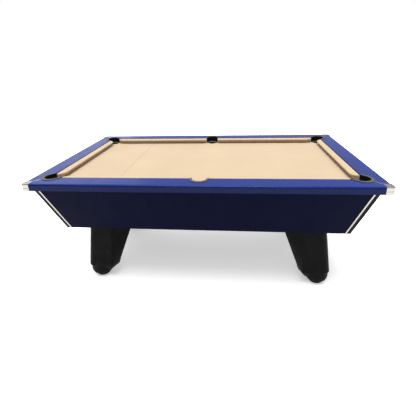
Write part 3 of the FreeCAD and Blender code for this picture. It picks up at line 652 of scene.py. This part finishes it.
def foot_screw(side, end, settings, material):
    """A foot's threaded screw with its hexagon collar."""
    place = "%s_%s" % (side, end)
    low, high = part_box("foot_stem_" + place)
    cx, cy = (low.x + high.x) / 2, (low.y + high.y) / 2
    radius, pitch, depth, around = 0.008, settings.thread_pitch, 0.0011, 28
    step = pitch / 4
    rows = []
    count = int((high.z - low.z - 0.002) / step)
    for k in range(count + 1):
        z = low.z + 0.001 + k * step
        row = []
        for i in range(around):
            phase = (z / pitch + i / around) % 1.0
            r = radius - depth * (1 - abs(2 * phase - 1))
            a = 2 * math.pi * i / around
            row.append((cx + r * math.cos(a), cy + r * math.sin(a), z))
        rows.append(row)
    for at, z in ((0, low.z), (len(rows) + 1, high.z)):
        rows.insert(at, [(cx + (p[0] - cx) * 0.82, cy + (p[1] - cy) * 0.82, z)
                         for p in rows[0]])
    shape = bmesh.new()
    skin(shape, rows)
    collar_low, collar_high, flats = 0.0184, 0.025, 0.024
    reach = flats / math.sqrt(3)
    profile = [(radius * 0.95, collar_low), (reach * 0.88, collar_low),
               (reach, collar_low + 0.0011), (reach, collar_high - 0.0011),
               (reach * 0.88, collar_high), (radius * 0.95, collar_high)]
    collar = []
    for r, z in profile:
        ring = []
        for i in range(48):
            a = 2 * math.pi * i / 48
            sector = (a + math.pi / 6) % (math.pi / 3) - math.pi / 6
            flat = (flats / 2) / math.cos(math.pi / 6 - abs(sector))
            ring.append((cx + min(r, flat) * math.cos(a), cy + min(r, flat) * math.sin(a), z))
        collar.append(ring)
    collar.append(collar[0])
    skin(shape, collar, cap=False)
    bmesh.ops.remove_doubles(shape, verts=shape.verts, dist=1e-6)
    piece = make_piece("foot_screw_" + place, shape, material, "stem_" + place, 40)
    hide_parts("foot_stem_" + place)
    return piece


def foot_disc(side, end, material):
    """A foot's moulded disc, with a stepped top and a rounded rim."""
    place = "%s_%s" % (side, end)
    low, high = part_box("foot_pad_" + place)
    cx, cy = (low.x + high.x) / 2, (low.y + high.y) / 2
    radius, tall = (high.x - low.x) / 2, high.z
    profile = [(0.0001, 0.0), (radius - 0.012, 0.0)]
    profile += [(radius - 0.006 + 0.006 * math.sin(math.radians(a)),
                 0.006 - 0.006 * math.cos(math.radians(a))) for a in range(0, 91, 15)]
    profile += [(radius, 0.0125)]
    profile += [(radius - 0.003 + 0.003 * math.cos(math.radians(a)),
                 0.0125 + 0.003 * math.sin(math.radians(a))) for a in range(30, 91, 30)]
    profile += [(radius - 0.012, 0.0157), (0.026, tall - 0.0004), (0.020, tall),
                (0.0092, tall), (0.0084, tall - 0.0008), (0.0084, 0.0064), (0.0001, 0.0062)]
    shape = bmesh.new()
    lathe(shape, profile, (cx, cy, 0.0), 72)
    piece = make_piece("foot_disc_" + place, shape, material, "pad_" + place)
    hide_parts("foot_pad_" + place)
    return piece


# --- Castings' screws ---

def casting_screws(material):
    """Countersunk screws with a cross recess, one in each corner casting."""
    low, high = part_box("cap_screws")
    head, recess, slot = 0.0056, 0.0016, 0.0008
    top = high.z
    turns = [2 * math.pi * i / 48 for i in range(48)]
    profile = ((0.0028, low.z), (0.003, low.z + 0.0006), (0.003, top - 0.0032),
               (0.0054, top - 0.0009), (head, top - 0.0005), (0.0053, top - 0.0001))
    crossed = ((0.0040, 0.0), (0.0034, 0.0), (0.0033, 1.0), (0.0018, 1.2))
    shape = bmesh.new()
    for side, end in CORNERS:
        cx, cy = ENDS[end] * (high.x - head), SIDES[side] * (high.y - head)
        rows = [[(cx + r * math.cos(a), cy + r * math.sin(a), z) for a in turns]
                for r, z in profile]
        for r, cut in crossed:
            row = []
            for a in turns:
                wide = min(abs(math.sin(a)), abs(math.cos(a))) * r
                deep = recess * cut if wide < slot or r < 0.002 else 0.0
                row.append((cx + r * math.cos(a), cy + r * math.sin(a), top - deep))
            rows.append(row)
        skin(shape, rows)
    piece = make_piece("casting_screws", shape, material, sharp=30)
    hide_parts("cap_screws")
    return piece


# --- Operators ---

class Dresser:
    """What the operators share: the undo option and the settings."""
    bl_options = {"REGISTER", "UNDO"}

    def settings(self, context):
        return context.scene.pool_table


class POOL_OT_bed(Dresser, bpy.types.Operator):
    """Lay the cloth over the slate and finish the slate"""
    bl_idname = "pool.bed"
    bl_label = "Bed"

    def execute(self, context):
        cloth = self.settings(context).cloth
        bed_cloth(cloth_finish(cloth, lined=True))
        dress(["slate"], slate_finish())
        return {"FINISHED"}


class POOL_OT_rails(Dresser, bpy.types.Operator):
    """Finish the four rails in laminate"""
    bl_idname = "pool.rails"
    bl_label = "Rails"

    def execute(self, context):
        colour = tuple(self.settings(context).laminate.rail_colour)
        names = ["side_rail_near", "side_rail_far", "end_rail_left", "end_rail_right"]
        # The rails' upward faces are painted 3.1 times paler: painted top light.
        dress(names, laminate_finish("rail_laminate", colour, 0.26, 0.10, 3.1))
        return {"FINISHED"}


class POOL_OT_cushions(Dresser, bpy.types.Operator):
    """Make the six cloth-covered cushions and their feather strips"""
    bl_idname = "pool.cushions"
    bl_label = "Cushions"

    def execute(self, context):
        settings = self.settings(context)
        wool = cloth_finish(settings.cloth, lined=False)
        # The feather strips are near black: painted shade for the dark joint at the back of each
        # cushion.
        strip = moulded_finish("feather_strip", (0.012, 0.012, 0.014), 0.5, 900, 0.00005)
        for name in CUSHIONS:
            cushion(name, settings.cloth, wool)
            feather_strip(name, settings.cloth, strip)
        return {"FINISHED"}


class POOL_OT_pockets(Dresser, bpy.types.Operator):
    """Finish the six pocket liners"""
    bl_idname = "pool.pockets"
    bl_label = "Pockets"

    def execute(self, context):
        colour = tuple(self.settings(context).moulding.pocket_colour)
        names = ["pocket_liner_%s_%s" % (side, end) for side in SIDES
                 for end in ("left", "middle", "right")]
        # The liners' upward faces are painted 11 times paler: painted top light.
        dress(names, moulded_finish("pocket_moulding", colour, 0.42, 700, 0.00012, 0.04,
                                   painted_top_paling=11))
        return {"FINISHED"}


class POOL_OT_castings(Dresser, bpy.types.Operator):
    """Finish the corner castings and strips, make their screws and plate the fasteners"""
    bl_idname = "pool.castings"
    bl_label = "Corner castings"

    def execute(self, context):
        metal = self.settings(context).metal
        places = ["%s_%s" % corner for corner in CORNERS]
        names = ["corner_cap_" + place for place in places]
        names += ["corner_strip_" + place for place in places]
        dress(names, chrome_finish(metal))
        steel = steel_finish(metal)
        casting_screws(steel)
        dress(["slate_screws", "leg_bolts", "foot_nuts"], steel)
        return {"FINISHED"}


class POOL_OT_cabinet(Dresser, bpy.types.Operator):
    """Finish the cabinet's panels, posts, bearers and base board"""
    bl_idname = "pool.cabinet"
    bl_label = "Cabinet"

    def execute(self, context):
        laminate = self.settings(context).laminate
        panels = ["side_panel_near", "side_panel_far", "end_panel_left", "end_panel_right"]
        # Painted shade: the panels take the darker cabinet colour for the shade under the rails.
        dress(panels, laminate_finish("cabinet_laminate", tuple(laminate.cabinet_shaded_colour),
                                      0.45, 0.015))
        posts = ["corner_post_%s_%s" % corner for corner in CORNERS]
        dress(posts, moulded_finish("post_edging", tuple(laminate.edge_colour), 0.38, 600,
                                    0.00008))
        timber = ["long_bearer_near", "long_bearer_far", "cross_bearer_left",
                  "cross_bearer_middle", "cross_bearer_right"]
        dress(timber, timber_finish())
        dress(["base_board"], moulded_finish("painted_board", (0.05, 0.05, 0.052), 0.7, 300,
                                             0.00015, 0.2))
        return {"FINISHED"}


class POOL_OT_ball_return(Dresser, bpy.types.Operator):
    """Finish the ball runs, the collection tray and the return's frame"""
    bl_idname = "pool.ball_return"
    bl_label = "Ball return"

    def execute(self, context):
        dress(["ball_run_near", "ball_run_far", "collection_tray"],
              moulded_finish("run_plastic", (0.020, 0.020, 0.021), 0.45, 500, 0.00010, 0.3))
        dress(["return_bezel"],
              moulded_finish("return_frame", (0.014, 0.014, 0.015), 0.36, 800, 0.00010, 0.1))
        return {"FINISHED"}


class POOL_OT_legs(Dresser, bpy.types.Operator):
    """Make the four moulded legs"""
    bl_idname = "pool.legs"
    bl_label = "Legs"

    def execute(self, context):
        moulding = self.settings(context).moulding
        skin_finish = moulded_finish("leg_moulding", tuple(moulding.leg_colour), 0.50, 420,
                                     0.00030, 0.06)
        master = softened_leg(moulding)
        if not master.polygons:
            raise RuntimeError("the leg's mesh came out empty")
        for side, end in CORNERS:
            moulded_leg(side, end, master, skin_finish)
        bpy.data.meshes.remove(master)
        return {"FINISHED"}


class POOL_OT_feet(Dresser, bpy.types.Operator):
    """Make the levelling feet: their discs and threaded screws"""
    bl_idname = "pool.feet"
    bl_label = "Feet"

    def execute(self, context):
        metal = self.settings(context).metal
        disc = moulded_finish("foot_plastic", (0.011, 0.011, 0.011), 0.55, 500, 0.00015, 0.2)
        steel = bpy.data.materials.get("zinc_steel") or steel_finish(metal)
        for side, end in CORNERS:
            foot_screw(side, end, metal, steel)
            foot_disc(side, end, disc)
        return {"FINISHED"}


def lamp(name, place, target, size, power):
    """A soft rectangular lamp aimed at a point."""
    light = bpy.data.lights.new(name, "AREA")
    light.shape = "RECTANGLE"
    light.size, light.size_y = size
    light.energy = power
    holder = bpy.data.objects.new(name, light)
    holder.location = place
    holder.rotation_euler = (Vector(target) - Vector(place)).to_track_quat("-Z", "Y").to_euler()
    bpy.context.scene.collection.objects.link(holder)


def light_room(room, studio):
    """A plain white room with a bright ceiling and a darker wall behind the camera."""
    tree = room.node_tree
    plain = tree.nodes["Background"]
    plain.inputs["Color"].default_value = (1, 1, 1, 1)
    way = tree.nodes.new("ShaderNodeSeparateXYZ")
    tree.links.new(tree.nodes.new("ShaderNodeTexCoord").outputs["Generated"], way.inputs[0])

    def ramp(axis, low, high, start, finish):
        """Goes smoothly from start to finish as the way looked in turns along an axis."""
        node = tree.nodes.new("ShaderNodeMapRange")
        node.interpolation_type = "SMOOTHSTEP"
        for socket, value in (("From Min", low), ("From Max", high), ("To Min", start),
                              ("To Max", finish)):
            node.inputs[socket].default_value = value
        tree.links.new(way.outputs[axis], node.inputs["Value"])
        return node.outputs["Result"]

    def join(operation, first, second):
        """The outcome of a maths operation on two values or sockets."""
        node = tree.nodes.new("ShaderNodeMath")
        node.operation = operation
        for index, value in enumerate((first, second)):
            if isinstance(value, bpy.types.NodeSocket):
                tree.links.new(value, node.inputs[index])
            else:
                node.inputs[index].default_value = value
        return node.outputs[0]

    walls = ramp("Y", -0.15, 0.35, studio.front_wall, studio.back_wall)
    lit = join("ADD", walls, ramp("Z", 0.25, 0.85, 0.0, studio.ceiling))
    seen = tree.nodes.new("ShaderNodeLightPath").outputs["Is Camera Ray"]
    shown = join("MAXIMUM", lit, join("MULTIPLY", seen, studio.sky))
    tree.links.new(shown, plain.inputs["Strength"])


class POOL_OT_studio(Dresser, bpy.types.Operator):
    """Set the pale floor, the soft lamps and the camera"""
    bl_idname = "pool.studio"
    bl_label = "Studio"

    def execute(self, context):
        studio = self.settings(context).studio
        scene = context.scene
        shape = bmesh.new()
        reach = 40.0
        corners = [shape.verts.new((x * reach, y * reach, 0)) for x, y in
                   ((-1, -1), (1, -1), (1, 1), (-1, 1))]
        shape.faces.new(corners)
        mesh = bpy.data.meshes.new("studio_floor")
        shape.to_mesh(mesh)
        shape.free()
        floor = bpy.data.objects.new("studio_floor", mesh)
        scene.collection.objects.link(floor)
        paint = Finish("studio_paper", tuple(studio.floor_colour), 0.85,
                       Specular_IOR_Level=0.0, Emission_Color=(1, 1, 1, 1),
                       Emission_Strength=studio.floor_glow)
        mesh.materials.append(paint.material)

        room = bpy.data.worlds.new("studio_room")
        room.use_nodes = True
        light_room(room, studio)
        scene.world = room

        overhead = bpy.data.lights.new("overhead_light", "SUN")
        overhead.energy = studio.overhead
        overhead.angle = math.radians(34)
        sun = bpy.data.objects.new("overhead_light", overhead)
        sun.rotation_euler = (math.radians(9), math.radians(-3), 0)
        scene.collection.objects.link(sun)
        lamp("side_lamp", (-3.6, 4.2, 2.3), (-0.7, 0, 0.8), (3.0, 2.0), studio.side)
        lamp("front_lamp", (1.6, -4.5, 2.4), (0, 0, 0.5), (3.0, 2.0), studio.front)

        stand = Vector((0.2288, -2.1721, 1.4867))
        yaw, tip, roll = (math.radians(a) for a in (5.827, 16.227, -1.817))
        ahead = Vector((-math.sin(yaw) * math.cos(tip), math.cos(yaw) * math.cos(tip),
                        -math.sin(tip)))
        level = Vector((math.cos(yaw), math.sin(yaw), 0))
        above = level.cross(ahead)
        right = level * math.cos(roll) + above * math.sin(roll)
        upward = above * math.cos(roll) - level * math.sin(roll)
        camera = bpy.data.cameras.new("camera")
        camera.sensor_width = 36
        camera.lens = 25.71
        camera.shift_y = -0.1394
        holder = bpy.data.objects.new("camera", camera)
        facing = Matrix((right, upward, -ahead)).transposed()
        holder.matrix_world = Matrix.Translation(stand) @ facing.to_4x4()
        scene.collection.objects.link(holder)
        scene.camera = holder
        scene.view_settings.view_transform = "Standard"
        return {"FINISHED"}


class POOL_PT_workshop(bpy.types.Panel):
    """Lists the table's pieces and settings in the sidebar"""
    bl_idname = "POOL_PT_workshop"
    bl_label = "Pool Table"
    bl_space_type = "VIEW_3D"
    bl_region_type = "UI"
    bl_category = "Pool Table"

    def draw(self, context):
        settings = context.scene.pool_table
        for label, group in (("Cloth", settings.cloth), ("Laminate", settings.laminate),
                             ("Mouldings", settings.moulding), ("Metal", settings.metal),
                             ("Studio", settings.studio)):
            box = self.layout.box()
            box.label(text=label)
            for key in group.__annotations__:
                box.prop(group, key)
        for operator in PIECES:
            self.layout.operator(operator.bl_idname)


SETTINGS = (ClothSettings, LaminateSettings, MouldingSettings, MetalSettings, StudioSettings,
            TableSettings)
PIECES = (POOL_OT_bed, POOL_OT_rails, POOL_OT_cushions, POOL_OT_pockets, POOL_OT_castings,
          POOL_OT_cabinet, POOL_OT_ball_return, POOL_OT_legs, POOL_OT_feet, POOL_OT_studio)


def register():
    for item in SETTINGS + PIECES + (POOL_PT_workshop,):
        bpy.utils.register_class(item)
    bpy.types.Scene.pool_table = PointerProperty(type=TableSettings)


def unregister():
    del bpy.types.Scene.pool_table
    for item in reversed(SETTINGS + PIECES + (POOL_PT_workshop,)):
        bpy.utils.unregister_class(item)


def main():
    """Makes every piece in order."""
    register()
    for operator in PIECES:
        step = getattr(bpy.ops.pool, operator.bl_idname.split(".")[1])
        if step() != {"FINISHED"}:
            raise RuntimeError(operator.bl_label + " did not finish")


if __name__ == "__main__":
    main()
